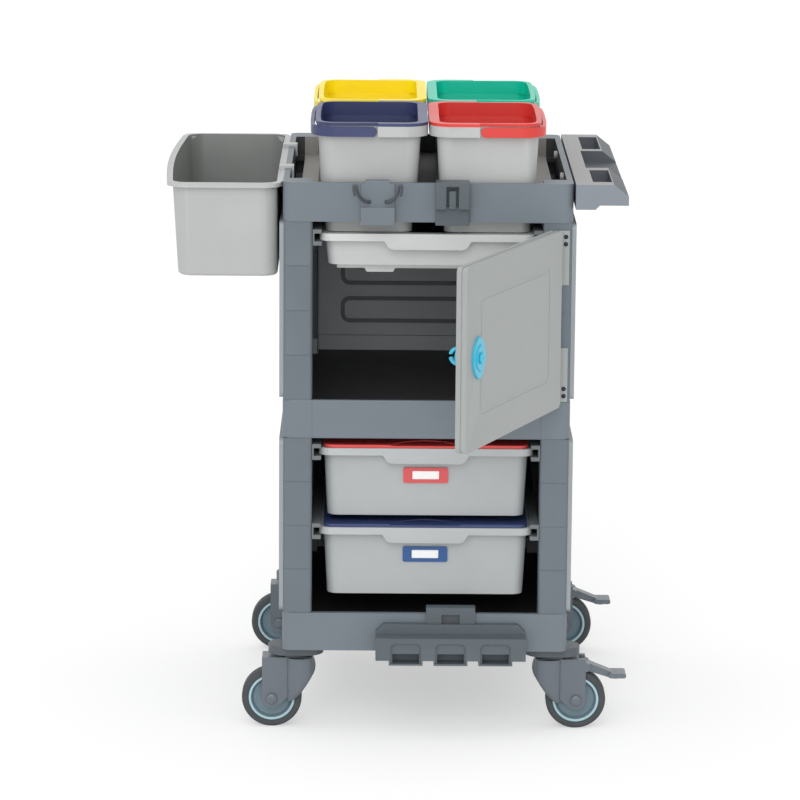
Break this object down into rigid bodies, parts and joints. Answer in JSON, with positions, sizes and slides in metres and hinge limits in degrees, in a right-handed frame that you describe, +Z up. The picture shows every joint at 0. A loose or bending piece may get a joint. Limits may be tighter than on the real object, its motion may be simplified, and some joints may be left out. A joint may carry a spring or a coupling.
{
  "type": "janitor cart",
  "caption": "Wheeled janitor cart: shelf frame with a hinged locking door, sliding lidded drawers, lift-out buckets with bails, side bin, push handle and braked swivel casters.",
  "frame": {"origin": "on the floor, under the centre of the cart's outer box as it stands with the door open", "axes": "+Z up; -Y to the front, where the door and drawers open; +X to the push handle, -X to the side bin"},
  "size_m": [0.7614, 0.964, 1.0213],
  "materials": {
    "frame_plastic": "moulded polypropylene, fine grain",
    "dark_plastic": "moulded polypropylene, dark",
    "light_plastic": "moulded polypropylene, satin",
    "door_plastic": "moulded polypropylene, fine grain",
    "rack_plastic": "moulded polypropylene",
    "handle_plastic": "moulded polypropylene, fine grain",
    "cyan_plastic": "moulded ABS",
    "yellow_plastic": "moulded polypropylene",
    "green_plastic": "moulded polypropylene",
    "blue_plastic": "moulded polypropylene",
    "red_plastic": "moulded polypropylene",
    "red_lid_plastic": "moulded polypropylene",
    "blue_lid_plastic": "moulded polypropylene",
    "red_label": "moulded ABS",
    "blue_label": "moulded ABS",
    "caster_plastic": "moulded polyamide",
    "hub_plastic": "moulded polyamide",
    "tyre_rubber": "thermoplastic rubber",
    "steel": "zinc plated"
  },
  "bodies": {
    "frame": {"base_deck": "frame_plastic", "lower_posts": "frame_plastic", "mid_shelf": "frame_plastic", "upper_posts": "frame_plastic", "top_frame": "frame_plastic", "upper_back_panel": "dark_plastic", "lower_back_panel": "dark_plastic", "upper_side_panels": "light_plastic", "lower_side_panels": "light_plastic", "drawer_runners": "light_plastic", "mop_clip": "frame_plastic", "tool_hook": "rack_plastic", "tool_rack": "rack_plastic", "push_handle": "handle_plastic", "caster_sockets": "dark_plastic", "hinge_plates": "light_plastic", "hinge_screws": "steel", "hinge_pins": "steel"},
    "door": {"door": "door_plastic", "lock_plate": "cyan_plastic"},
    "lock": {"lock_knob": "cyan_plastic", "latch_cam": "cyan_plastic"},
    "bin": {"side_bin": "light_plastic"},
    "tray": {"shallow_tray": "light_plastic"},
    "red_drawer": {"red_drawer": "light_plastic", "red_label_holder": "red_label"},
    "red_lid": {"red_lid": "red_lid_plastic"},
    "blue_drawer": {"blue_drawer": "light_plastic", "blue_label_holder": "blue_label"},
    "blue_lid": {"blue_lid": "blue_lid_plastic"},
    "bucket_front_left": {"bucket_front_left": "light_plastic", "liner_front_left": "blue_plastic"},
    "bail_front_left": {"bail_front_left": "blue_plastic"},
    "bucket_front_right": {"bucket_front_right": "light_plastic", "liner_front_right": "red_plastic"},
    "bail_front_right": {"bail_front_right": "red_plastic"},
    "bucket_back_left": {"bucket_back_left": "light_plastic", "liner_back_left": "yellow_plastic"},
    "bail_back_left": {"bail_back_left": "yellow_plastic"},
    "bucket_back_right": {"bucket_back_right": "light_plastic", "liner_back_right": "green_plastic"},
    "bail_back_right": {"bail_back_right": "green_plastic"},
    "caster_front_left": {"fork_front_left": "caster_plastic", "axle_front_left": "steel"},
    "wheel_front_left": {"hub_front_left": "hub_plastic", "tyre_front_left": "tyre_rubber"},
    "caster_front_right": {"fork_front_right": "caster_plastic", "axle_front_right": "steel"},
    "wheel_front_right": {"hub_front_right": "hub_plastic", "tyre_front_right": "tyre_rubber"},
    "pedal_front_right": {"pedal_front_right": "caster_plastic"},
    "caster_back_left": {"fork_back_left": "caster_plastic", "axle_back_left": "steel"},
    "wheel_back_left": {"hub_back_left": "hub_plastic", "tyre_back_left": "tyre_rubber"},
    "caster_back_right": {"fork_back_right": "caster_plastic", "axle_back_right": "steel"},
    "wheel_back_right": {"hub_back_right": "hub_plastic", "tyre_back_right": "tyre_rubber"},
    "pedal_back_right": {"pedal_back_right": "caster_plastic"}
  },
  "joints": [
    {"name": "door_swing", "type": "hinge", "parent": "frame", "child": "door", "pos_m": [0.25465, -0.11105, 0.707], "axis": [0, 0, 1], "range_deg": [-66, 44]},
    {"name": "lock_turn", "type": "hinge", "parent": "door", "child": "lock", "pos_m": [0.10904, -0.4381, 0.706], "axis": [0.9135, -0.4067, 0], "range_deg": [0, 90]},
    {"name": "bin_lift", "type": "slide", "parent": "frame", "child": "bin", "axis": [0, 0, 1], "range_m": [0, 0.1]},
    {"name": "tray_slide", "type": "slide", "parent": "frame", "child": "tray", "axis": [0, -1, 0], "range_m": [0, 0.07]},
    {"name": "red_drawer_slide", "type": "slide", "parent": "frame", "child": "red_drawer", "axis": [0, -1, 0], "range_m": [0, 0.4]},
    {"name": "red_lid_lift", "type": "slide", "parent": "red_drawer", "child": "red_lid", "axis": [0, 0, 1], "range_m": [0, 0.01]},
    {"name": "blue_drawer_slide", "type": "slide", "parent": "frame", "child": "blue_drawer", "axis": [0, -1, 0], "range_m": [0, 0.4]},
    {"name": "blue_lid_lift", "type": "slide", "parent": "blue_drawer", "child": "blue_lid", "axis": [0, 0, 1], "range_m": [0, 0.01]},
    {"name": "bucket_front_left_lift", "type": "slide", "parent": "frame", "child": "bucket_front_left", "axis": [0, 0, 1], "range_m": [0, 0.2]},
    {"name": "bail_front_left_fold", "type": "hinge", "parent": "bucket_front_left", "child": "bail_front_left", "pos_m": [-0.04935, 0.04645, 1.0073], "axis": [0, 1, 0], "range_deg": [0, 90]},
    {"name": "bucket_front_right_lift", "type": "slide", "parent": "frame", "child": "bucket_front_right", "axis": [0, 0, 1], "range_m": [0, 0.2]},
    {"name": "bail_front_right_fold", "type": "hinge", "parent": "bucket_front_right", "child": "bail_front_right", "pos_m": [0.13465, 0.04645, 1.0073], "axis": [0, -1, 0], "range_deg": [0, 90]},
    {"name": "bucket_back_left_lift", "type": "slide", "parent": "frame", "child": "bucket_back_left", "axis": [0, 0, 1], "range_m": [0, 0.2]},
    {"name": "bail_back_left_fold", "type": "hinge", "parent": "bucket_back_left", "child": "bail_back_left", "pos_m": [-0.04935, 0.33345, 1.0073], "axis": [0, 1, 0], "range_deg": [0, 90]},
    {"name": "bucket_back_right_lift", "type": "slide", "parent": "frame", "child": "bucket_back_right", "axis": [0, 0, 1], "range_m": [0, 0.2]},
    {"name": "bail_back_right_fold", "type": "hinge", "parent": "bucket_back_right", "child": "bail_back_right", "pos_m": [0.13465, 0.33345, 1.0073], "axis": [0, -1, 0], "range_deg": [0, 90]},
    {"name": "caster_front_left_swivel", "type": "hinge", "parent": "frame", "child": "caster_front_left", "pos_m": [-0.17135, -0.05205, 0.1209], "axis": [0, 0, 1], "continuous": true},
    {"name": "wheel_front_left_roll", "type": "hinge", "parent": "caster_front_left", "child": "wheel_front_left", "pos_m": [-0.21135, -0.05205, 0.05], "axis": [0, 1, 0], "continuous": true},
    {"name": "caster_front_right_swivel", "type": "hinge", "parent": "frame", "child": "caster_front_right", "pos_m": [0.25665, -0.05205, 0.1209], "axis": [0, 0, 1], "continuous": true},
    {"name": "wheel_front_right_roll", "type": "hinge", "parent": "caster_front_right", "child": "wheel_front_right", "pos_m": [0.29665, -0.05205, 0.05], "axis": [0, 1, 0], "continuous": true},
    {"name": "pedal_front_right_press", "type": "hinge", "parent": "caster_front_right", "child": "pedal_front_right", "pos_m": [0.31265, -0.05205, 0.1069], "axis": [0, 1, 0], "range_deg": [0, 10]},
    {"name": "caster_back_left_swivel", "type": "hinge", "parent": "frame", "child": "caster_back_left", "pos_m": [-0.17135, 0.43195, 0.1209], "axis": [0, 0, 1], "continuous": true},
    {"name": "wheel_back_left_roll", "type": "hinge", "parent": "caster_back_left", "child": "wheel_back_left", "pos_m": [-0.21135, 0.43195, 0.05], "axis": [0, 1, 0], "continuous": true},
    {"name": "caster_back_right_swivel", "type": "hinge", "parent": "frame", "child": "caster_back_right", "pos_m": [0.25665, 0.43195, 0.1209], "axis": [0, 0, 1], "continuous": true},
    {"name": "wheel_back_right_roll", "type": "hinge", "parent": "caster_back_right", "child": "wheel_back_right", "pos_m": [0.29665, 0.43195, 0.05], "axis": [0, 1, 0], "continuous": true},
    {"name": "pedal_back_right_press", "type": "hinge", "parent": "caster_back_right", "child": "pedal_back_right", "pos_m": [0.31265, 0.43195, 0.1069], "axis": [0, 1, 0], "range_deg": [0, 10]}
  ]
}
